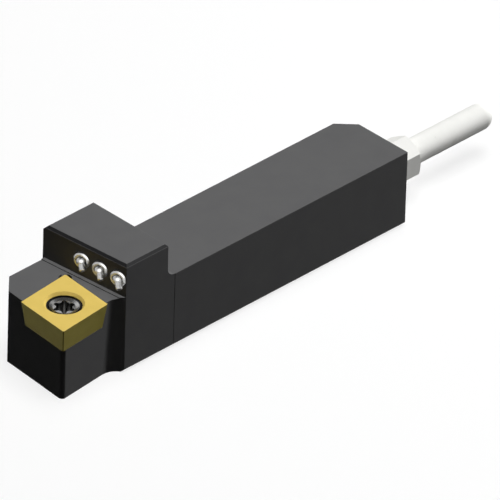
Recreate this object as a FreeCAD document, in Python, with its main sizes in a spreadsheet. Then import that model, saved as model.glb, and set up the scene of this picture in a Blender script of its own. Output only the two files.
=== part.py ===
import FreeCAD, Part
import math
import os
import re
import Sketcher
from FreeCAD import Vector

# Right-hand turning tool holder with a screwed-on rhombic insert and three coolant jets.
# X runs back along the shank from the cutting nose, the cutting side faces -Y and +Z is up.
# The origin lies on the underside of the shank, on its centre line, under the middle of its length.

# Driving sizes, in millimetres and degrees
SIZES = {
    # shank and its place
    "shank_width": 12.7,
    "shank_height": 12.7,
    "tool_length": 69.5,
    "nose_reach": 45.0,
    "rear_corner_cut": 2.65,
    "bottom_edge_break": 0.55,
    # head
    "head_length": 20.85,
    "head_rise": 5.65,
    "head_overhang": 3.15,
    "head_edge_break": 0.42,
    "head_far_break": 0.75,
    "head_foot_radius": 1.3,
    "side_relief": 0.08,
    "relief_land": 1.45,
    # seat in front of the wall
    "wall_reach": 12.5,
    "wall_ledge": 0.59,
    "wall_ledge_rise": 0.15,
    "seat_step": 0.35,
    "front_corner_cut": 4.15,
    "flank_inset": 0.35,
    "flank_relief": 2.35,
    "nose_corner_radius": 0.6,
    "runout_radius": 2.66,
    # insert
    "entering_skew": 5.0,
    "insert_circle": 9.525,
    "insert_angle": 80.0,
    "insert_thickness": 3.97,
    "insert_relief": 7.0,
    "insert_corner": 0.2,
    "insert_hole": 4.4,
    "sink_diameter": 5.9,
    "sink_half_angle": 30.0,
    "pocket_clearance": 0.02,
    "corner_relief_radius": 1.0,
    "corner_relief_setback": 0.93,
    # insert screw
    "screw_thread": 3.5,
    "screw_head": 5.25,
    "screw_rim": 0.13,
    "screw_rim_width": 0.2,
    "screw_dish": 0.25,
    "screw_length": 9.0,
    "screw_point_break": 0.4,
    "lobe_outer": 3.35,
    "lobe_inner": 2.35,
    "lobe_radius": 0.35,
    "recess_depth": 1.3,
    "thread_clearance": 0.03,
    # coolant jets
    "jet_edge": 1.56,
    "jet_spacing": 3.44,
    "jet_height": 2.86,
    "jet_tilt": 1.0,
    "jet_swing": 13.0,
    "jet_flange": 2.6,
    "jet_flange_thickness": 0.72,
    "jet_flange_break": 0.2,
    "jet_ring_width": 0.42,
    "jet_groove_depth": 0.3,
    "jet_dome": 1.5,
    "jet_dome_stem": 0.2,
    "jet_thread": 2.0,
    "jet_thread_length": 2.2,
    "jet_feed_bore": 0.8,
    "jet_spout": 1.0,
    "jet_spout_length": 1.55,
    "jet_spout_break": 0.12,
    "jet_spout_bore": 0.55,
    "jet_bend": 50.0,
    "jet_turn": 42.0,
    "jet_seat_clearance": 0.05,
    # coolant channels and their plugs
    "gallery_bore": 2.6,
    "gallery_setback": 3.8,
    "gallery_height": 3.3,
    "gallery_end_wall": 1.05,
    "riser_bore": 2.5,
    "supply_bore": 2.5,
    "plug_thread": 3.3,
    "plug_length": 3.0,
    "plug_sink": 0.3,
    "plug_socket": 1.5,
    "plug_socket_depth": 1.6,
    # rear nipple and its seal
    "hex_flats": 6.0,
    "hex_length": 6.3,
    "hex_corner_angle": 30.0,
    "tube_diameter": 4.0,
    "tube_length": 17.0,
    "nipple_bore": 2.0,
    "nipple_thread": 4.0,
    "nipple_thread_length": 6.0,
    "port_depth": 7.5,
    "seal_outer": 5.8,
    "seal_thickness": 0.6,
    "seal_clearance": 0.05,
    # how far cutters run past the metal
    "cutter_overrun": 1.0,
    "flank_overrun": 3.0,
}
JET_NAMES = ("jet_nozzle_inner", "jet_nozzle_middle", "jet_nozzle_outer")

# Derived places, as formulas of the names above
NOSE_X = "(0 - nose_reach)"
REAR_X = "(tool_length - nose_reach)"
SIDE_Y = "(0 - shank_width / 2)"
HEAD_SIDE_Y = f"({SIDE_Y} + side_relief)"
HEAD_LEFT_Y = "(shank_width / 2 + head_overhang)"
SEAT_LEFT_Y = f"({HEAD_LEFT_Y} - seat_step)"
HEAD_REAR_X = f"({NOSE_X} + head_length)"
HEAD_TOP = "(shank_height + head_rise)"
HALF_ANGLE = "(insert_angle / 2)"
OTHER_HALF_ANGLE = "(90 - insert_angle / 2)"
INSERT_EDGE = "(insert_circle / sin(insert_angle))"
INSERT_SEAT = "(shank_height - insert_thickness)"
# the far corner of the insert, from its nose, along and across its side edge
FAR_ALONG = f"({INSERT_EDGE} * (1 + cos(insert_angle)))"
FAR_ACROSS = "insert_circle"
CENTRE_X = (f"({NOSE_X} + {FAR_ALONG} / 2 * cos(entering_skew)"
            f" - {FAR_ACROSS} / 2 * sin(entering_skew))")
CENTRE_Y = (f"({SIDE_Y} + {FAR_ALONG} / 2 * sin(entering_skew)"
            f" + {FAR_ACROSS} / 2 * cos(entering_skew))")
GALLERY_X = f"({NOSE_X} + wall_reach + gallery_setback)"
GALLERY_Z = "(shank_height + gallery_height)"
SUPPLY_Z = "(shank_height / 2)"
SEAT_LEVEL_OF_SCREW = "((sink_diameter - screw_head) / 2 / tan(sink_half_angle))"
JET_YAW = "(entering_skew + jet_swing)"
JET_SINK = "(jet_flange / 2 * (tan(jet_tilt) + tan(jet_swing)))"
DOME_LEVEL = "(jet_flange_thickness - jet_groove_depth + jet_dome_stem)"

# Directions of a sketch's normal, as yaw and roll
UP = ("0", "0")
DOWN = ("0", "180")
LEFT = ("0", "0 - 90")
REARWARD = ("90", "90")
ALONG_INSERT = ("entering_skew", "0")
ALONG_JETS = (f"{JET_YAW} - 90", "90 + jet_tilt")

# How near two places count as the same one
SAME_PLACE = 1e-4


def wall_x(across):
    """Place of the slanted wall behind the seat, at a place across the tool."""
    return f"({NOSE_X} + wall_reach - ({across} - {SIDE_Y}) * tan(entering_skew))"


# The document, its sheet of sizes and the way formulas reach it
doc = FreeCAD.newDocument("TurningToolHolder")
sheet = doc.addObject("Spreadsheet::Sheet", "Dims")
for row, (word, number) in enumerate(SIZES.items(), start=1):
    sheet.set(f"A{row}", word)
    sheet.set(f"B{row}", str(number))
    sheet.setAlias(f"B{row}", word)
doc.recompute()


def formula(text):
    """Puts the sheet's name before each of its words."""
    def named(match):
        word = match.group()
        return f"Dims.{word}" if word in SIZES else word
    return re.sub(r"[A-Za-z_]\w*", named, str(text))


def number(text):
    """The value that a formula has now."""
    result = sheet.evalExpression(str(text))
    return float(getattr(result, "Value", result))


def bind(target, prop, text):
    """Ties a property of an object to a formula."""
    target.setExpression(prop, formula(text))


def placement(x, y, z, direction):
    """Formula of a placement at a point, turned to a direction."""
    yaw, roll = direction
    return f"placement(vector({x}; {y}; {z}); rotation({yaw}; 0; {roll}))"


# Sketches
def new_body(label):
    """An empty body with the sub-part's name."""
    body = doc.addObject("PartDesign::Body", "".join(word.title() for word in label.split("_")))
    body.Label = label
    return body


def new_sketch(body, name, x="0", y="0", z="0", direction=UP, role="XY_Plane"):
    """A sketch on an origin plane of its own body, offset and turned by formulas."""
    sketch = body.newObject("Sketcher::SketchObject", name)
    plane = next(item for item in body.Origin.OriginFeatures if item.Role == role)
    sketch.AttachmentSupport = [(plane, "")]
    sketch.MapMode = "FlatFace"
    bind(sketch, "AttachmentOffset", placement(x, y, z, direction))
    return sketch


def fix(sketch, kind, *where, text):
    """Adds a dimension to a sketch and ties it to a formula."""
    index = sketch.addConstraint(Sketcher.Constraint(kind, *where, number(text)))
    sketch.setExpression(f"Constraints[{index}]", formula(text))


def fix_point(sketch, geometry, end, x, y):
    """Dimensions one end of a sketch line or arc from the sketch's origin."""
    fix(sketch, "DistanceX", -1, 1, geometry, end, text=x)
    fix(sketch, "DistanceY", -1, 1, geometry, end, text=y)


def top_of_arc(start, end, radius, side):
    """Middle of the short arc between two points, with its centre on the left (1) or right (-1)."""
    chord = end - start
    across = Vector(-chord.y, chord.x, 0).normalize() * side
    rise = math.sqrt(max(radius ** 2 - (chord.Length / 2) ** 2, 0.0))
    return (start + end) * 0.5 + across * (rise - radius)


def draw_outline(sketch, corners):
    """Draws a closed outline. A corner is (x, y) or (x, y, radius, side of the arc that follows)."""
    spots = [Vector(number(corner[0]), number(corner[1]), 0) for corner in corners]
    for index, corner in enumerate(corners):
        start, end = spots[index], spots[(index + 1) % len(corners)]
        near, far = corner[:2], corners[(index + 1) % len(corners)][:2]
        if len(corner) == 2:
            geometry = sketch.addGeometry(Part.LineSegment(start, end))
        else:
            radius, side = corner[2:]
            if side < 0:
                start, end, near, far = end, start, far, near
            top = top_of_arc(start, end, number(radius), abs(side))
            geometry = sketch.addGeometry(Part.Arc(start, top, end))
            fix(sketch, "Radius", geometry, text=radius)
        fix_point(sketch, geometry, 1, *near)
        fix_point(sketch, geometry, 2, *far)


def blend(x, y, half_angle, arriving, radius):
    """Start and end of the arc that rounds a convex corner reached in a given direction."""
    cut = f"({radius} / tan({half_angle}))"
    leaving = f"({arriving} + 180 - 2 * {half_angle})"
    return [(f"{x} - {cut} * cos({arriving})", f"{y} - {cut} * sin({arriving})", radius, 1),
            (f"{x} + {cut} * cos({leaving})", f"{y} + {cut} * sin({leaving})")]


def draw_circles(sketch, spots, diameter):
    """Draws equal circles at places given by formulas."""
    for x, y in spots:
        spot = Vector(number(x), number(y), 0)
        geometry = sketch.addGeometry(Part.Circle(spot, Vector(0, 0, 1), number(diameter) / 2))
        fix(sketch, "Diameter", geometry, text=diameter)
        fix_point(sketch, geometry, 3, x, y)


# Features
def volume(body):
    """Volume of the body so far, or none."""
    return 0.0 if body.Shape.isNull() else body.Shape.Volume


def checked(body, feature, adds):
    """Recomputes, and stops if the feature didn't add or remove metal as it should."""
    before = volume(body)
    body.Tip = feature
    doc.recompute()
    change = body.Shape.Volume - before
    if change * (1 if adds else -1) <= 0:
        raise ValueError(f"{feature.Name} changed the volume by {change:.4f}")
    return feature


def pad(body, sketch, name, length, backwards=False):
    """Pads a sketch along its normal, or against it."""
    feature = body.newObject("PartDesign::Pad", name)
    feature.Profile = sketch
    feature.Reversed = backwards
    bind(feature, "Length", length)
    return checked(body, feature, adds=True)


def pocket(body, sketch, name, depth, forwards=False):
    """Cuts a sketch against its normal, or along it."""
    feature = body.newObject("PartDesign::Pocket", name)
    feature.Profile = sketch
    feature.Reversed = forwards
    bind(feature, "Length", depth)
    return checked(body, feature, adds=False)


def revolve(body, sketch, name):
    """Turns a sketch one full turn about its vertical axis."""
    feature = body.newObject("PartDesign::Revolution", name)
    feature.Profile = sketch
    feature.ReferenceAxis = (sketch, ["V_Axis"])
    return checked(body, feature, adds=True)


def groove(body, sketch, name):
    """Turns a sketch one full turn about its vertical axis and removes it."""
    feature = body.newObject("PartDesign::Groove", name)
    feature.Profile = sketch
    feature.ReferenceAxis = (sketch, ["V_Axis"])
    return checked(body, feature, adds=False)


def loft(body, kind, first, second, name):
    """Ruled loft between two sketches, added or removed."""
    feature = body.newObject(f"PartDesign::{kind}Loft", name)
    feature.Profile = first
    feature.Sections = [second]
    feature.Ruled = True
    return checked(body, feature, adds=kind == "Additive")


def drill(body, name, mouth, diameter, depth, spots=(("0", "0"),), forwards=False):
    """Round holes from a mouth (x, y, z, direction) into the metal."""
    sketch = new_sketch(body, f"{name}Sketch", *mouth)
    draw_circles(sketch, spots, diameter)
    return pocket(body, sketch, name, depth, forwards)


def dress(body, kind, name, size, wanted):
    """Fillet or Chamfer on the edges of the body that pass a test."""
    base = body.Tip
    edges = [f"Edge{index}" for index, edge in enumerate(base.Shape.Edges, start=1) if wanted(edge)]
    if not edges:
        raise ValueError(f"{name} found no edge")
    feature = body.newObject(f"PartDesign::{kind}", name)
    feature.Base = (base, edges)
    bind(feature, "Radius" if kind == "Fillet" else "Size", size)
    body.Tip = feature
    doc.recompute()
    return feature


def all_at(edge, x=None, y=None, z=None):
    """True for an edge whose ends and middle all lie at the given coordinates."""
    middle = edge.valueAt((edge.FirstParameter + edge.LastParameter) / 2)
    points = [vertex.Point for vertex in edge.Vertexes] + [middle]
    for point in points:
        for place, wanted in ((point.x, x), (point.y, y), (point.z, z)):
            if wanted is not None and abs(place - wanted) > SAME_PLACE:
                return False
    return True


# Tool body: the bar with its raised head, milled from one piece of steel
def make_block(body):
    """The bar up to the shank's top, with the seat, the head's foot and the cut corners in plan."""
    sketch = new_sketch(body, "BarSketch")
    relief_end = f"({HEAD_REAR_X} + relief_land)"
    draw_outline(sketch, [
        (NOSE_X, HEAD_SIDE_Y),
        (relief_end, HEAD_SIDE_Y),
        (relief_end, SIDE_Y),
        (REAR_X, SIDE_Y),
        (REAR_X, "shank_width / 2 - rear_corner_cut"),
        (f"{REAR_X} - rear_corner_cut", "shank_width / 2"),
        (HEAD_REAR_X, "shank_width / 2"),
        (HEAD_REAR_X, HEAD_LEFT_Y),
        (wall_x(HEAD_LEFT_Y), HEAD_LEFT_Y),
        (wall_x(SEAT_LEFT_Y), SEAT_LEFT_Y),
        (f"{NOSE_X} + front_corner_cut", SEAT_LEFT_Y),
        (NOSE_X, f"{SEAT_LEFT_Y} - front_corner_cut"),
    ])
    pad(body, sketch, "Bar", "shank_height")
    head = new_sketch(body, "HeadSketch", z="shank_height")
    draw_outline(head, [
        (wall_x(HEAD_SIDE_Y), HEAD_SIDE_Y),
        (HEAD_REAR_X, HEAD_SIDE_Y),
        (HEAD_REAR_X, HEAD_LEFT_Y),
        (wall_x(HEAD_LEFT_Y), HEAD_LEFT_Y),
    ])
    pad(body, head, "Head", "head_rise")
    ledge = new_sketch(body, "LedgeSketch", z="shank_height")
    forward = "wall_ledge / cos(entering_skew)"
    draw_outline(ledge, [
        (f"{wall_x(HEAD_SIDE_Y)} - {forward}", HEAD_SIDE_Y),
        (f"{wall_x(HEAD_SIDE_Y)} + {forward}", HEAD_SIDE_Y),
        (f"{wall_x(SEAT_LEFT_Y)} + {forward}", SEAT_LEFT_Y),
        (f"{wall_x(SEAT_LEFT_Y)} - {forward}", SEAT_LEFT_Y),
    ])
    pad(body, ledge, "WallLedge", "wall_ledge_rise")


def dress_block(body):
    """Radii at the head's foot and the broken edges round its top, the largest on its far side."""
    top = number("shank_height")
    rear = number(HEAD_REAR_X)
    crown = number(HEAD_TOP)
    far = number(HEAD_LEFT_Y)
    far_cut = number(f"{HEAD_LEFT_Y} - head_far_break")
    dress(body, "Fillet", "HeadFootRadius", "head_foot_radius",
          lambda edge: all_at(edge, x=rear, z=top) and edge.Length > number("shank_width") / 2)
    dress(body, "Chamfer", "HeadFarBreak", "head_far_break",
          lambda edge: all_at(edge, y=far, z=crown))
    dress(body, "Chamfer", "HeadEdgeBreak", "head_edge_break",
          lambda edge: all_at(edge, z=crown) and not all_at(edge, y=far_cut))


def break_bottom_edges(body):
    """Chamfers the long bottom edges of the shank, on the cutting side from the nose back."""
    for name, side, outward, length in (
            ("CuttingSide", SIDE_Y, "(0 - 1)", "tool_length"),
            ("FarSide", "(shank_width / 2)", "1", "tool_length - head_length")):
        sketch = new_sketch(body, f"{name}BreakSketch", x=REAR_X, direction=REARWARD)
        outer = f"({side} + {outward} * cutter_overrun)"
        inner = f"({side} - {outward} * (bottom_edge_break + cutter_overrun))"
        draw_outline(sketch, [
            (outer, "0 - cutter_overrun"),
            (inner, "0 - cutter_overrun"),
            (outer, "bottom_edge_break + cutter_overrun"),
        ])
        pocket(body, sketch, f"{name}Break", length)


def relief_outline(sketch, level):
    """Outline of the air round the nose at one height, from the insert's nose point."""
    inset = f"(flank_inset + (shank_height - ({level})) * tan(flank_relief))"
    corner_along = f"({inset} / tan({HALF_ANGLE}))"
    tangent = f"(nose_corner_radius / tan({HALF_ANGLE}))"
    end_along = "(wall_reach * cos(entering_skew) + side_relief * sin(entering_skew))"
    end_across = "(side_relief * cos(entering_skew) - wall_reach * sin(entering_skew))"
    drop = f"({inset} - {end_across})"
    run = f"sqrt(2 * runout_radius * {drop} - {drop} * {drop})"
    beyond = "(shank_width + head_overhang + cutter_overrun)"
    outside = f"({end_across} - flank_overrun)"
    front_x = f"({corner_along} + {beyond} * cos(insert_angle))"
    draw_outline(sketch, [
        (f"{corner_along} + {tangent} * cos(insert_angle)",
         f"{inset} + {tangent} * sin(insert_angle)", "nose_corner_radius", 1),
        (f"{corner_along} + {tangent}", inset),
        (f"{end_along} - {run}", inset, "runout_radius", -1),
        (end_along, end_across),
        (end_along, outside),
        ("0 - flank_overrun", outside),
        ("0 - flank_overrun", f"{inset} + {beyond} * sin(insert_angle)"),
        (front_x, f"{inset} + {beyond} * sin(insert_angle)"),
    ])


def relieve_nose(body):
    """Leans both flanks back under the insert and runs the side flank out in a round."""
    sections = []
    for name, level in (("Low", "0 - cutter_overrun"), ("High", "shank_height + cutter_overrun")):
        sketch = new_sketch(body, f"Relief{name}Sketch", NOSE_X, SIDE_Y, level, ALONG_INSERT)
        relief_outline(sketch, level)
        sections.append(sketch)
    loft(body, "Subtractive", sections[0], sections[1], "NoseRelief")


def cut_pocket(body):
    """The insert's pocket: a flat seat and two leaning walls with a round relief in their corner."""
    sections = []
    beyond = f"({FAR_ALONG} + cutter_overrun)"
    for name, level in (("Seat", INSERT_SEAT), ("Mouth", "(shank_height + cutter_overrun)")):
        lean = f"((shank_height - {level}) * tan(insert_relief) - pocket_clearance)"
        corner_along = f"({FAR_ALONG} - {lean} / tan({HALF_ANGLE}))"
        corner_across = f"({FAR_ACROSS} - {lean})"
        sketch = new_sketch(body, f"Pocket{name}Sketch", NOSE_X, SIDE_Y, level, ALONG_INSERT)
        low_along = f"{corner_along} - {beyond} * cos(insert_angle)"
        low_across = f"{corner_across} - {beyond} * sin(insert_angle)"
        draw_outline(sketch, [
            (corner_along, corner_across),
            (f"{corner_along} - {beyond}", corner_across),
            (f"{corner_along} - {beyond}", low_across),
            (low_along, low_across),
        ])
        sections.append(sketch)
    loft(body, "Subtractive", sections[0], sections[1], "InsertPocket")
    relief = (f"{FAR_ALONG} - corner_relief_setback * cos({HALF_ANGLE})",
              f"{FAR_ACROSS} - corner_relief_setback * sin({HALF_ANGLE})")
    drill(body, "CornerRelief", (NOSE_X, SIDE_Y, "shank_height", ALONG_INSERT),
          "corner_relief_radius * 2", "insert_thickness", spots=(relief,))
    drill(body, "ScrewHole", (CENTRE_X, CENTRE_Y, INSERT_SEAT, UP),
          "screw_thread + 2 * thread_clearance", f"{INSERT_SEAT} + cutter_overrun")


def jet_mouth(index):
    """Where the back of a nozzle's flange sits, counted from the far side of the wall."""
    along = f"(jet_edge + {len(JET_NAMES) - 1 - index} * jet_spacing)"
    x = (f"{NOSE_X} + wall_reach - {along} * sin(entering_skew)"
         f" + {JET_SINK} * cos(jet_tilt) * cos({JET_YAW})")
    y = (f"{SIDE_Y} + {along} * cos(entering_skew)"
         f" + {JET_SINK} * cos(jet_tilt) * sin({JET_YAW})")
    z = f"shank_height + jet_height + {JET_SINK} * sin(jet_tilt)"
    return x, y, z, ALONG_JETS


def drill_channels(body):
    """Coolant way: rear port, supply bore, riser, gallery and three nozzle bores."""
    for index in range(len(JET_NAMES)):
        drill(body, f"JetSeat{index}", jet_mouth(index), "jet_flange + 2 * jet_seat_clearance",
              f"jet_flange + {JET_SINK}", forwards=True)
        drill(body, f"JetBore{index}", jet_mouth(index), "jet_thread + 2 * thread_clearance",
              "gallery_setback")
    mouth = (GALLERY_X, HEAD_LEFT_Y, GALLERY_Z, LEFT)
    drill(body, "Gallery", mouth, "gallery_bore",
          "shank_width + head_overhang - side_relief - gallery_end_wall")
    drill(body, "GalleryPlugSeat", mouth, "plug_thread + 2 * thread_clearance",
          "plug_sink + plug_length")
    mouth = (GALLERY_X, "0", "0", DOWN)
    drill(body, "Riser", mouth, "riser_bore", GALLERY_Z)
    drill(body, "RiserPlugSeat", mouth, "plug_thread + 2 * thread_clearance",
          "plug_sink + plug_length")
    mouth = (REAR_X, "0", SUPPLY_Z, REARWARD)
    drill(body, "Supply", mouth, "supply_bore", f"{REAR_X} - {GALLERY_X}")
    drill(body, "Port", mouth, "nipple_thread + 2 * thread_clearance", "port_depth")
    drill(body, "SealSeat", mouth, "seal_outer + 2 * seal_clearance", "seal_thickness")


def make_tool_body():
    """The one-piece steel body."""
    body = new_body("tool_body")
    make_block(body)
    dress_block(body)
    relieve_nose(body)
    break_bottom_edges(body)
    cut_pocket(body)
    drill_channels(body)
    return body


# Cutting insert: pressed and ground carbide, its flanks leaning in all round
def make_cutting_insert():
    """The rhombic insert, seated on its flat base, with a sunk hole."""
    body = new_body("cutting_insert")
    sections = []
    for name, level in (("Base", "0"), ("Top", "insert_thickness")):
        inset = f"((insert_thickness - {level}) * tan(insert_relief))"
        sharp = f"({inset} / tan({HALF_ANGLE}))"
        blunt = f"({inset} * tan({HALF_ANGLE}))"
        half = f"({FAR_ALONG} / 2)"
        lean = f"({INSERT_EDGE} * cos(insert_angle))"
        sketch = new_sketch(body, f"{name}Sketch", z=level)
        low = f"({inset} - {FAR_ACROSS} / 2)"
        high = f"({FAR_ACROSS} / 2 - {inset})"
        corners = [
            (f"({sharp} - {half})", low, HALF_ANGLE, "180 + insert_angle"),
            (f"({INSERT_EDGE} - {blunt} - {half})", low, OTHER_HALF_ANGLE, "0"),
            (f"({half} - {sharp})", high, HALF_ANGLE, "insert_angle"),
            (f"({lean} + {blunt} - {half})", high, OTHER_HALF_ANGLE, "180"),
        ]
        draw_outline(sketch, [spot for corner in corners for spot in blend(*corner, "insert_corner")])
        sections.append(sketch)
    loft(body, "Additive", sections[0], sections[1], "Rhombus")
    hole = new_sketch(body, "HoleSketch", role="XZ_Plane")
    sink = "((sink_diameter - insert_hole) / 2 / tan(sink_half_angle))"
    over = "cutter_overrun"
    draw_outline(hole, [
        ("0", f"0 - {over}"),
        ("insert_hole / 2", f"0 - {over}"),
        ("insert_hole / 2", f"insert_thickness - {sink}"),
        ("sink_diameter / 2", "insert_thickness"),
        ("sink_diameter / 2", f"insert_thickness + {over}"),
        ("0", f"insert_thickness + {over}"),
    ])
    groove(body, hole, "SunkHole")
    bind(body, "Placement", placement(CENTRE_X, CENTRE_Y, INSERT_SEAT, ALONG_INSERT))
    return body


# Insert screw: countersunk, with a six-lobe recess; its origin is at the widest level of the cone
def make_insert_screw():
    """The screw that pulls the insert into its pocket."""
    body = new_body("insert_screw")
    profile = new_sketch(body, "ProfileSketch", role="XZ_Plane")
    cone = "((screw_head - screw_thread) / 2 / tan(sink_half_angle))"
    draw_outline(profile, [
        ("0", "0 - screw_length"),
        ("screw_thread / 2 - screw_point_break", "0 - screw_length"),
        ("screw_thread / 2", "screw_point_break - screw_length"),
        ("screw_thread / 2", f"0 - {cone}"),
        ("screw_head / 2", "0"),
        ("screw_head / 2", "screw_rim"),
        ("screw_head / 2 - screw_rim_width", "screw_rim"),
        ("lobe_outer / 2", "screw_rim - screw_dish"),
        ("0", "screw_rim - screw_dish"),
    ])
    revolve(body, profile, "Turned")
    cut_six_lobes(body)
    bind(body, "Placement",
         placement(CENTRE_X, CENTRE_Y, f"shank_height - {SEAT_LEVEL_OF_SCREW}", ALONG_INSERT))
    return body


def cut_six_lobes(body):
    """One lobe with half a flute on each side, cut and patterned round the screw's axis."""
    reach = "(lobe_outer / 2 - lobe_radius)"
    flute = (f"(({reach} ^ 2 + (lobe_inner / 2) ^ 2 - {reach} * lobe_inner * cos(30)"
             f" - lobe_radius ^ 2) / (2 * (lobe_radius - lobe_inner / 2 + {reach} * cos(30))))")
    flute_reach = f"(lobe_inner / 2 + {flute})"
    share = f"(lobe_radius / (lobe_radius + {flute}))"
    touch_x = f"({reach} + ({flute_reach} * cos(30) - {reach}) * {share})"
    touch_y = f"({flute_reach} * sin(30) * {share})"
    edge_x = "(lobe_inner / 2 * cos(30))"
    edge_y = "(lobe_inner / 2 * sin(30))"
    turned = (HALF_ANGLE, "0")
    sketch = new_sketch(body, "LobeSketch", z="screw_rim - screw_dish", direction=turned)
    draw_outline(sketch, [
        ("0", "0"),
        (edge_x, f"0 - {edge_y}", flute, -1),
        (touch_x, f"0 - {touch_y}", "lobe_radius", 1),
        (touch_x, touch_y, flute, -1),
        (edge_x, edge_y),
    ])
    lobe = pocket(body, sketch, "Lobe", "recess_depth")
    pattern = body.newObject("PartDesign::PolarPattern", "SixLobes")
    pattern.Originals = [lobe]
    pattern.Axis = (sketch, ["N_Axis"])
    pattern.Angle = 360
    pattern.Occurrences = 6
    checked(body, pattern, adds=False)


# Jet nozzles: turned plugs with a ring flange, a domed middle and a short bent spout
def make_jet_nozzle(label, index):
    """One nozzle, its origin at the middle of the flange's back face and its axis outwards."""
    body = new_body(label)
    profile = new_sketch(body, "ProfileSketch", role="XZ_Plane")
    front = "jet_flange_thickness"
    floor = f"({front} - jet_groove_depth)"
    draw_outline(profile, [
        ("0", "0 - jet_thread_length"),
        ("jet_thread / 2", "0 - jet_thread_length"),
        ("jet_thread / 2", "0"),
        ("jet_flange / 2", "0"),
        ("jet_flange / 2", f"{front} - jet_flange_break"),
        ("jet_flange / 2 - jet_flange_break", front),
        ("jet_flange / 2 - jet_ring_width", front),
        ("jet_flange / 2 - jet_ring_width", floor),
        ("jet_dome / 2", floor),
        ("jet_dome / 2", DOME_LEVEL, "jet_dome / 2", 1),
        ("0", f"{DOME_LEVEL} + jet_dome / 2"),
    ])
    revolve(body, profile, "Turned")
    aim = ("jet_turn", "jet_bend")
    spout = new_sketch(body, "SpoutSketch", z=DOME_LEVEL, direction=aim)
    draw_circles(spout, [("0", "0")], "jet_spout")
    pad(body, spout, "Spout", "jet_spout_length")
    tip = Vector(0, 0, number(DOME_LEVEL)) + aimed(number("jet_spout_length"))
    dress(body, "Chamfer", "SpoutBreak", "jet_spout_break",
          lambda edge: (edge.CenterOfMass - tip).Length < SAME_PLACE)
    feed = new_sketch(body, "FeedSketch", z="0 - jet_thread_length", direction=DOWN)
    draw_circles(feed, [("0", "0")], "jet_feed_bore")
    pocket(body, feed, "Feed", f"jet_thread_length + {DOME_LEVEL}")
    way = new_sketch(body, "SpoutBoreSketch", z=DOME_LEVEL, direction=aim)
    draw_circles(way, [("0", "0")], "jet_spout_bore")
    pocket(body, way, "SpoutBore", "jet_spout_length + cutter_overrun", forwards=True)
    bind(body, "Placement", placement(*jet_mouth(index)))
    return body


def aimed(length):
    """A length along the spout, from its bend and its turn about the nozzle's axis."""
    bend = math.radians(number("jet_bend"))
    turn = math.radians(number("jet_turn"))
    return Vector(math.sin(bend) * math.sin(turn), -math.sin(bend) * math.cos(turn),
                  math.cos(bend)) * length


# Channel plugs: short grub screws with a hexagon socket, their origin at the outer face
def make_channel_plug(label, x, y, z, direction):
    """One plug, sunk a little below the mouth of its bore."""
    body = new_body(label)
    blank = new_sketch(body, "BlankSketch", z="0 - plug_sink")
    draw_circles(blank, [("0", "0")], "plug_thread")
    pad(body, blank, "Blank", "plug_length", backwards=True)
    socket = new_sketch(body, "SocketSketch", z="0 - plug_sink")
    draw_hexagon(socket, "plug_socket")
    pocket(body, socket, "Socket", "plug_socket_depth")
    bind(body, "Placement", placement(x, y, z, direction))
    return body


def draw_hexagon(sketch, flats):
    """A hexagon with its flats across the sketch's horizontal direction."""
    corner = f"({flats} / sqrt(3))"
    half = f"({flats} / 2)"
    draw_outline(sketch, [
        (half, f"0 - {corner} / 2"),
        (half, f"{corner} / 2"),
        ("0", corner),
        (f"0 - {half}", f"{corner} / 2"),
        (f"0 - {half}", f"0 - {corner} / 2"),
        ("0", f"0 - {corner}"),
    ])


# Coolant nipple: turned from hexagon bar, its origin where the hexagon meets the shank
def make_coolant_nipple():
    """Thread, hexagon and round-ended tube in one piece, drilled through."""
    body = new_body("coolant_nipple")
    bar = new_sketch(body, "HexagonSketch")
    draw_hexagon(bar, "hex_flats")
    pad(body, bar, "Hexagon", "hex_length")
    crown = new_sketch(body, "CrownSketch", role="XZ_Plane")
    corner = "(hex_flats / sqrt(3))"
    flat = "(hex_flats / 2)"
    drop = f"(({corner} - {flat}) * tan(hex_corner_angle))"
    over = "cutter_overrun"
    draw_outline(crown, [
        (flat, "hex_length"),
        (f"{corner} + {over}", f"hex_length - {drop} - {over} * tan(hex_corner_angle)"),
        (f"{corner} + {over}", "hex_length"),
    ])
    groove(body, crown, "Crown")
    stem = new_sketch(body, "StemSketch", role="XZ_Plane")
    draw_outline(stem, [
        ("0", "0 - nipple_thread_length"),
        ("nipple_thread / 2", "0 - nipple_thread_length"),
        ("nipple_thread / 2", "0"),
        ("tube_diameter / 2", "hex_length"),
        ("tube_diameter / 2", "hex_length + tube_length - tube_diameter / 2",
         "tube_diameter / 2", 1),
        ("0", "hex_length + tube_length"),
    ])
    revolve(body, stem, "Stem")
    bore = new_sketch(body, "BoreSketch", z="0 - nipple_thread_length", direction=DOWN)
    draw_circles(bore, [("0", "0")], "nipple_bore")
    pocket(body, bore, "Bore", "nipple_thread_length + hex_length + tube_length")
    bind(body, "Placement", placement(REAR_X, "0", SUPPLY_Z, REARWARD))
    return body


# Seal ring: a soft flat ring in the rear port's seat, under the hexagon
def make_nipple_seal_ring():
    """The ring between the hexagon and the bottom of its seat."""
    body = new_body("nipple_seal_ring")
    ring = new_sketch(body, "RingSketch")
    draw_circles(ring, [("0", "0")], "seal_outer")
    draw_circles(ring, [("0", "0")], "nipple_thread + 2 * seal_clearance")
    pad(body, ring, "Ring", "seal_thickness", backwards=True)
    bind(body, "Placement", placement(REAR_X, "0", SUPPLY_Z, REARWARD))
    return body


pieces = [make_tool_body(), make_cutting_insert(), make_insert_screw()]
pieces += [make_jet_nozzle(name, index) for index, name in enumerate(JET_NAMES)]
pieces.append(make_coolant_nipple())
pieces.append(make_nipple_seal_ring())
pieces.append(make_channel_plug("gallery_plug", GALLERY_X, HEAD_LEFT_Y, GALLERY_Z, LEFT))
pieces.append(make_channel_plug("riser_plug", GALLERY_X, "0", "0", DOWN))
doc.recompute()

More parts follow.
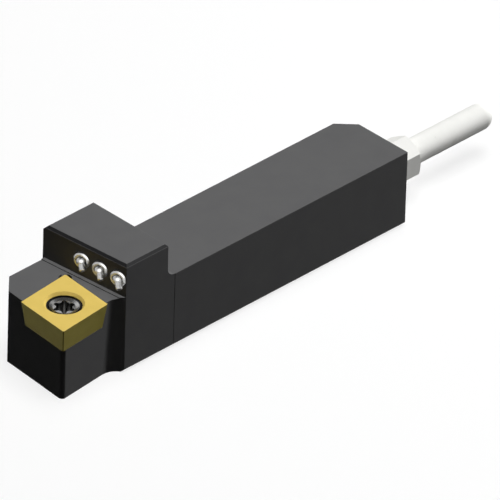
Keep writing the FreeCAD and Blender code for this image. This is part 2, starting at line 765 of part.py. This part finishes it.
# Nothing is written unless every object computed and every piece is one sound solid
failed = [item.Name for item in doc.Objects if {"Invalid", "Error"} & set(item.State)]
if failed:
    raise ValueError(f"failed objects: {failed}")
for piece in pieces:
    if piece.Shape.isNull() or not piece.Shape.isValid() or len(piece.Shape.Solids) != 1:
        raise ValueError(f"{piece.Label} isn't one sound solid")

os.makedirs("parts", exist_ok=True)
for piece in pieces:
    piece.Shape.exportStep(os.path.join("parts", f"{piece.Label}.step"))
    box = piece.Shape.optimalBoundingBox()
    print(f"{piece.Label}: {piece.Shape.Volume:.2f} mm3, x {box.XMin:.2f} to {box.XMax:.2f}, "
          f"y {box.YMin:.2f} to {box.YMax:.2f}, z {box.ZMin:.2f} to {box.ZMax:.2f}")
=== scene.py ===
import math

import bmesh
import bpy
from mathutils import Matrix, Vector


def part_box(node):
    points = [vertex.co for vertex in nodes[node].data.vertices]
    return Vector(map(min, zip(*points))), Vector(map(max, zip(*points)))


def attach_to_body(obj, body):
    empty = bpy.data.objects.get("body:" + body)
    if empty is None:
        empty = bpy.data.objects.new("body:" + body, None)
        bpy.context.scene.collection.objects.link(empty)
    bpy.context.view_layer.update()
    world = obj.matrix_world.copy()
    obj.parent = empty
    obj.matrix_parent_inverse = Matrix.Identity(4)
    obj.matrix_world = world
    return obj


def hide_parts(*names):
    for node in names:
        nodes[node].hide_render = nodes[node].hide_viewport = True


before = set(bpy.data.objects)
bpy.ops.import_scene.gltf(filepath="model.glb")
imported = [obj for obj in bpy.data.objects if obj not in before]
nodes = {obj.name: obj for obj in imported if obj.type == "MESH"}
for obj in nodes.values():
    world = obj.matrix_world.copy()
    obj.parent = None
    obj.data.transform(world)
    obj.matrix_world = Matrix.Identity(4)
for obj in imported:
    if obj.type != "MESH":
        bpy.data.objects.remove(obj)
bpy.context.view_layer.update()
MM = 0.001

# The view
# A long lens, high and in front of the tool on its cutting side.
# The camera is turned a little about its own axis, as in the photograph.
view_turn = math.radians(44.409)
view_fall = math.radians(33.529)
view_roll = math.radians(1.828)
aim = Vector((-15.363, -13.973, 17.196)) * MM
distance = 2191.6 * MM
camera = bpy.data.objects.new("camera", bpy.data.cameras.new("camera"))
camera.data.lens = 1102.5
camera.data.clip_end = 20
looking = (Matrix.Rotation(view_turn - math.pi / 2, 4, "Z")
           @ Matrix.Rotation(math.pi / 2 - view_fall, 4, "X")
           @ Matrix.Rotation(view_roll, 4, "Z"))
camera.matrix_world = Matrix.Translation(aim) @ looking @ Matrix.Translation((0, 0, distance))
bpy.context.scene.collection.objects.link(camera)
bpy.context.scene.camera = camera
bpy.context.scene.view_settings.view_transform = "Standard"


# Tool body
# One piece of alloy steel, milled from a square bar, with a raised head and a slanted wall.
# It is hardened, fine-blasted and blackened. Its long edges are only just broken by hand.
def attach(tree, kind, inputs=None, **options):
    """Adds a shader node, sets its options and fills its inputs with values or with sockets."""
    made = tree.nodes.new(f"ShaderNode{kind}")
    for option, value in options.items():
        setattr(made, option, value)
    for socket, value in (inputs or {}).items():
        if isinstance(value, bpy.types.NodeSocket):
            tree.links.new(value, made.inputs[socket])
        else:
            made.inputs[socket].default_value = value
    return made


def finish(name, **constants):
    """A new material, its node tree, and Object coordinates in metres."""
    material = bpy.data.materials.new(name)
    material.use_nodes = True
    tree = material.node_tree
    for socket, value in constants.items():
        tree.nodes["Principled BSDF"].inputs[socket.replace("_", " ")].default_value = value
    return material, tree, attach(tree, "TexCoord").outputs["Object"]


def noise(tree, where, grain, detail=2.0, stretch=(1, 1, 1)):
    """Noise with grains of a given size in millimetres, longer where it is stretched."""
    scaled = attach(tree, "Mapping", {"Vector": where, "Scale": [1 / part for part in stretch]})
    return attach(tree, "TexNoise", {"Vector": scaled.outputs["Vector"], "Scale": 1 / (grain * MM),
                                     "Detail": detail, "Roughness": 0.55}).outputs["Fac"]


def spread(tree, value, low, high):
    """Turns a noise value into a range, a little sharpened about its middle."""
    return attach(tree, "MapRange", {"Value": value, "From Min": 0.3, "From Max": 0.7,
                                     "To Min": low, "To Max": high}).outputs["Result"]


def tint(tree, share, first, second):
    """Blends two colours."""
    mix = attach(tree, "Mix", data_type="RGBA")
    for socket, value in ((0, share), (6, (*first, 1) if isinstance(first, tuple) else first),
                          (7, (*second, 1) if isinstance(second, tuple) else second)):
        if isinstance(value, bpy.types.NodeSocket):
            tree.links.new(value, mix.inputs[socket])
        else:
            mix.inputs[socket].default_value = value
    return mix.outputs[2]


def settle(tree, colour, roughness, height, depth):
    """Joins colour, roughness and a bump of a given depth in millimetres to the surface."""
    shader = tree.nodes["Principled BSDF"]
    bump = attach(tree, "Bump", {"Height": height, "Strength": 1.0, "Distance": depth * MM})
    tree.links.new(colour, shader.inputs["Base Color"])
    tree.links.new(roughness, shader.inputs["Roughness"])
    tree.links.new(bump.outputs["Normal"], shader.inputs["Normal"])


def edge_share(tree, where, grain):
    """The broken edges, worn unevenly along their length."""
    marked = attach(tree, "Attribute", attribute_name="edge").outputs["Fac"]
    worn = spread(tree, noise(tree, where, grain), 0.25, 1.0)
    return attach(tree, "Math", {0: marked, 1: worn}, operation="MULTIPLY").outputs[0]


def broken_copy(node, name, width, shortest, sharpest=30):
    """A merged copy of a CAD node whose longer sharp edges are broken and marked as edges."""
    shape = bmesh.new()
    shape.from_mesh(node.data)
    bmesh.ops.remove_doubles(shape, verts=shape.verts, dist=0.001 * MM)
    bmesh.ops.dissolve_limit(shape, angle_limit=math.radians(0.5), verts=shape.verts,
                             edges=shape.edges)
    sharp = [edge for edge in shape.edges if len(edge.link_faces) == 2 and edge.is_convex
             and edge.calc_face_angle() > math.radians(sharpest)
             and edge.calc_length() > shortest * MM]
    marks = shape.faces.layers.float.new("edge")
    broken = bmesh.ops.bevel(shape, geom=sharp, offset=width * MM, offset_type="OFFSET",
                             segments=2, profile=0.5, affect="EDGES", material=-1,
                             clamp_overlap=False)
    for face in broken["faces"]:
        face[marks] = 1.0
    for face in shape.faces:
        face.smooth = True
    mesh = bpy.data.meshes.new(name)
    shape.to_mesh(mesh)
    shape.free()
    mesh.set_sharp_from_angle(angle=math.radians(21))
    piece = bpy.data.objects.new(name, mesh)
    bpy.context.scene.collection.objects.link(piece)
    even = piece.modifiers.new("even_shading", "WEIGHTED_NORMAL")
    even.keep_sharp = True
    return piece


def dress(piece, material):
    """Gives a piece or a CAD node its only material."""
    piece.data.materials.clear()
    piece.data.materials.append(material)


blackened, tree, where = finish("blackened steel", Metallic=0.0, Specular_IOR_Level=0.007)
patches = noise(tree, where, 3.5, detail=3.0)
blasted = noise(tree, where, 0.12)
cutter = noise(tree, where, 0.09, stretch=(40, 1, 1))
black = tint(tree, spread(tree, patches, 0, 1), (0.114, 0.114, 0.116), (0.122, 0.122, 0.123))
# Painted shade: faces sloped at about 45°, the chamfers, are painted darker, and darker still
# where they face forward.
facing = attach(tree, "SeparateXYZ", {"Vector": attach(tree, "NewGeometry").outputs["Normal"]})
chamfer_rise = math.sin(math.radians(45))
sloped_shade_share = attach(tree, "Math", {0: facing.outputs["Z"], 1: chamfer_rise, 2: 0.15},
                operation="COMPARE").outputs[0]
forward_shade_share = attach(tree, "MapRange", {"Value": facing.outputs["X"], "From Min": -0.2,
                                    "From Max": -0.6}).outputs["Result"]
painted_chamfer_shade = tint(tree, forward_shade_share, (0.042, 0.042, 0.043), (0.024, 0.024, 0.025))
black = tint(tree, sloped_shade_share, black, painted_chamfer_shade)
black = tint(tree, edge_share(tree, where, 1.5), black, (0.13, 0.13, 0.13))
relief = attach(tree, "Math", {0: blasted, 1: cutter}, operation="ADD").outputs[0]
settle(tree, black, spread(tree, patches, 0.44, 0.54), relief, 0.004)

body = broken_copy(nodes["tool_body"], "milled_body", width=0.05, shortest=0.8)
dress(body, blackened)
dress(nodes["tool_body"], blackened)
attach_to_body(body, "root")
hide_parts("tool_body")

# Cutting insert
# Sintered carbide, ground all round and coated with a hard, gold-coloured layer.
# Its cutting edges and its nose are honed, and it sits in its pocket under its screw.
coated, tree, where = finish("gold coating", Specular_IOR_Level=0.01)
clouds = noise(tree, where, 2.4)
sintered = noise(tree, where, 0.07, detail=3.0)
normal = attach(tree, "NewGeometry").outputs["Normal"]
upward = attach(tree, "SeparateXYZ", {"Vector": normal}).outputs["Z"]
unshaded_rake_share = attach(tree, "MapRange", {"Value": upward, "From Min": 0.2,
                                    "From Max": 0.45}).outputs["Result"]
# Painted shade: faces that do not look upward, the flanks, are painted in a darker copy of the
# rake's gold.
rake = tint(tree, spread(tree, clouds, 0, 1), (0.725, 0.535, 0.132), (0.765, 0.565, 0.146))
shaded_flank_gold = tint(tree, spread(tree, clouds, 0, 1), (0.165, 0.140, 0.024), (0.188, 0.158, 0.029))
# Painted shade: flank faces turned towards the nose corner are painted darker still.
nose_shade_direction = (-0.707, -0.707, 0)
painted_nose_shade = attach(tree, "VectorMath", {0: normal, 1: nose_shade_direction},
              operation="DOT_PRODUCT").outputs["Value"]
painted_nose_shade = attach(tree, "MapRange", {"Value": painted_nose_shade, "From Min": 0.90,
                                 "From Max": 0.95}).outputs["Result"]
shaded_flank_gold = tint(tree, painted_nose_shade, shaded_flank_gold, (0.045, 0.038, 0.008))
gold = tint(tree, unshaded_rake_share, shaded_flank_gold, rake)
shiny = attach(tree, "MapRange", {"Value": unshaded_rake_share, "To Min": 0.35, "To Max": 0.05})
tree.links.new(shiny.outputs["Result"], tree.nodes["Principled BSDF"].inputs["Metallic"])
gold = tint(tree, edge_share(tree, where, 0.8), gold, (0.62, 0.46, 0.14))
settle(tree, gold, spread(tree, sintered, 0.40, 0.55), sintered, 0.005)

insert = broken_copy(nodes["cutting_insert"], "honed_insert", width=0.04, shortest=0.02,
                     sharpest=60)
dress(insert, coated)
dress(nodes["cutting_insert"], coated)
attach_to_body(insert, "root")
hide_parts("cutting_insert")

# Insert screw
# A countersunk screw of hardened steel, turned and thread-rolled, with a pressed six-lobe recess.
# It draws the insert down and back into its pocket. Painted shadow blackens its outer ring, and
# painted shade darkens its recess.
hardened, tree, where = finish("hardened screw steel", Metallic=1.0)
temper = noise(tree, where, 1.1)
pressed = noise(tree, where, 0.05)
steel = tint(tree, spread(tree, temper, 0, 1), (0.42, 0.42, 0.42), (0.50, 0.495, 0.49))
low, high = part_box("insert_screw")
to_axis = [-(low[0] + high[0]) / 2, -(low[1] + high[1]) / 2, 0]
centred = attach(tree, "Mapping", {"Vector": where, "Location": to_axis,
                                   "Scale": (1, 1, 0)}).outputs["Vector"]
radius = attach(tree, "VectorMath", {0: centred}, operation="LENGTH").outputs["Value"]
# Painted shadow: a black ring outside the dish stands for the shadow in the gap round the head.
ring_start, ring_full = 2.14 * MM, 2.26 * MM
painted_gap_shadow = attach(tree, "MapRange", {"Value": radius, "From Min": ring_start,
                                    "From Max": ring_full}).outputs["Result"]
# Painted shade: the recess is painted darker below the foot of the dish.
level = attach(tree, "SeparateXYZ", {"Vector": where}).outputs["Z"]
dish_foot, recess_wall = high[2] - 0.28 * MM, high[2] - 0.40 * MM
painted_recess_shade = attach(tree, "MapRange", {"Value": level, "From Min": dish_foot,
                                   "From Max": recess_wall}).outputs["Result"]
steel = tint(tree, painted_recess_shade, steel, (0.16, 0.16, 0.156))
steel = tint(tree, painted_gap_shadow, steel, (0.02, 0.02, 0.02))
settle(tree, steel, spread(tree, temper, 0.20, 0.26), pressed, 0.003)
dress(nodes["insert_screw"], hardened)

# Jet nozzles
# Three small turned nozzles of stainless steel, screwed into the wall above the insert.
# Each has a ring flange, a domed middle and a short spout that aims at the cutting edge.
polished, tree, where = finish("bright nozzle steel", Metallic=1.0)
handling = noise(tree, where, 0.9)
turned = noise(tree, where, 0.06)
bright = tint(tree, spread(tree, handling, 0, 1), (0.44, 0.44, 0.43), (0.54, 0.54, 0.53))
settle(tree, bright, spread(tree, handling, 0.30, 0.42), turned, 0.003)
for name in ("jet_nozzle_inner", "jet_nozzle_middle", "jet_nozzle_outer"):
    dress(nodes[name], polished)

# Coolant nipple
# Turned from drawn hexagon bar and nickel-plated, with a round-ended tube for a hose.
# The tube has fine turning rings round it, and the hexagon fine drawing lines along it.
plated, tree, where = finish("plated nipple steel", Metallic=0.05, Specular_IOR_Level=0.0)
shine = noise(tree, where, 2.0)
along = attach(tree, "SeparateXYZ", {"Vector": where}).outputs["X"]
tube_start = 30.8 * MM
on_tube = attach(tree, "Math", {0: along, 1: tube_start}, operation="GREATER_THAN").outputs[0]
rings = noise(tree, where, 0.12, stretch=(1, 60, 60))
drawn = noise(tree, where, 0.10, stretch=(50, 1, 1))
marks = attach(tree, "Mix", {0: on_tube, 2: drawn, 3: rings}).outputs[0]
nickel = tint(tree, spread(tree, shine, 0, 1), (0.88, 0.88, 0.85), (0.92, 0.92, 0.89))
settle(tree, nickel, spread(tree, shine, 0.26, 0.36), marks, 0.003)
dress(nodes["coolant_nipple"], plated)

# Nipple seal ring
# A flat ring of annealed copper, squeezed between the hexagon and the bottom of its seat.
# The seat is cut in the rear end face, and the hexagon covers it.
copper, tree, where = finish("annealed copper", Metallic=1.0)
stain = noise(tree, where, 0.8)
crushed = noise(tree, where, 0.1)
brown = tint(tree, spread(tree, stain, 0, 1), (0.55, 0.25, 0.14), (0.72, 0.36, 0.21))
settle(tree, brown, spread(tree, stain, 0.35, 0.55), crushed, 0.004)
dress(nodes["nipple_seal_ring"], copper)

# Channel plugs
# Two short grub screws of phosphated steel with a hexagon socket.
# They close the ends of the cross-drilled coolant way, on the far side and underneath.
phosphated, tree, where = finish("phosphated plug steel", Metallic=0.6)
bloom = noise(tree, where, 0.7)
crystals = noise(tree, where, 0.06)
grey = tint(tree, spread(tree, bloom, 0, 1), (0.10, 0.10, 0.10), (0.16, 0.16, 0.155))
settle(tree, grey, spread(tree, bloom, 0.45, 0.6), crystals, 0.004)
for name in ("gallery_plug", "riser_plug"):
    dress(nodes[name], phosphated)

# Floor and light
# A matt, pale table. The lamps above, behind and on the far side cast no shadow, as in the
# photograph, and a wide soft lamp gives the one on the table. Metal shows a room with pale walls,
# a darker ceiling and a pale panel in front.
def sees_white(tree):
    """One for a ray from the camera, or for one that is mirrored or passes through."""
    rays = attach(tree, "LightPath").outputs
    seen = rays["Is Camera Ray"]
    for kind in ("Is Glossy Ray", "Is Transmission Ray"):
        seen = attach(tree, "Math", {0: seen, 1: rays[kind]}, operation="MAXIMUM").outputs[0]
    return seen


table = bpy.data.objects.new("table", bpy.data.meshes.new("table"))
shape = bmesh.new()
bmesh.ops.create_grid(shape, x_segments=1, y_segments=1, size=20.0,
                      matrix=Matrix.Translation((0, 0, -0.05 * MM)))
shape.to_mesh(table.data)
shape.free()
bpy.context.scene.collection.objects.link(table)
matt, tree, _ = finish("matt table", Roughness=0.9, Specular_IOR_Level=0.0)
pale = tint(tree, sees_white(tree), (0.02, 0.02, 0.02), (0.98, 0.98, 0.98))
tree.links.new(pale, tree.nodes["Principled BSDF"].inputs["Base Color"])
dress(table, matt)

room = bpy.data.worlds.new("room")
bpy.context.scene.world = room
room.use_nodes = True
tree = room.node_tree
ray = attach(tree, "TexCoord").outputs["Generated"]
height = attach(tree, "SeparateXYZ", {"Vector": ray}).outputs["Z"]
ceiling_edge, wall_top = math.sin(math.radians(56)), math.sin(math.radians(42))
walls = attach(tree, "MapRange", {"Value": height, "From Min": ceiling_edge,
                                  "From Max": wall_top, "To Min": 0.1, "To Max": 1.0},
               interpolation_type="SMOOTHSTEP").outputs["Result"]
panel_direction = (-0.5955, -0.5833, 0.5523)
towards = attach(tree, "VectorMath", {0: ray, 1: panel_direction},
                 operation="DOT_PRODUCT").outputs["Value"]
panel_rim, panel_middle = math.cos(math.radians(50)), math.cos(math.radians(28))
panel = attach(tree, "MapRange", {"Value": towards, "From Min": panel_rim,
                                  "From Max": panel_middle, "To Min": 0.0, "To Max": 2.0},
               interpolation_type="SMOOTHSTEP").outputs["Result"]
mirrored = attach(tree, "Math", {0: walls, 1: panel}, operation="ADD").outputs[0]
rays = attach(tree, "LightPath").outputs
seen = attach(tree, "Mix", {0: rays["Is Camera Ray"], 2: mirrored, 3: 1.0}).outputs[0]
glow = attach(tree, "Mix", {0: sees_white(tree), 2: 0.01, 3: seen}).outputs[0]
tree.links.new(glow, tree.nodes["Background"].inputs["Strength"])
tree.nodes["Background"].inputs["Color"].default_value = (1, 1, 1, 1)


def soft_lamp(name, direction, distance, size, energy, shadow):
    """A square lamp that faces the tool from a direction, at a distance in metres."""
    lamp = bpy.data.lights.new(name, "AREA")
    lamp.size = size
    lamp.energy = energy
    lamp.use_shadow = shadow
    piece = bpy.data.objects.new(name, lamp)
    piece.location = Vector(direction).normalized() * distance
    piece.rotation_euler = piece.location.to_track_quat("Z", "Y").to_euler()
    piece.visible_glossy = False
    bpy.context.scene.collection.objects.link(piece)


soft_lamp("main_lamp", direction=(-0.01, -0.03, 1.0), distance=1.0,
          size=0.2, energy=6.5, shadow=False)
soft_lamp("rear_lamp", direction=(0.97, -0.21, 0.17), distance=1.0,
          size=0.2, energy=9.2, shadow=False)
soft_lamp("far_lamp", direction=(0.05, 1.0, 0.0), distance=1.0,
          size=0.2, energy=1.3, shadow=False)
soft_lamp("wide_lamp", direction=(0.0, -0.1, 1.0), distance=1.5,
          size=0.9, energy=4.9, shadow=True)
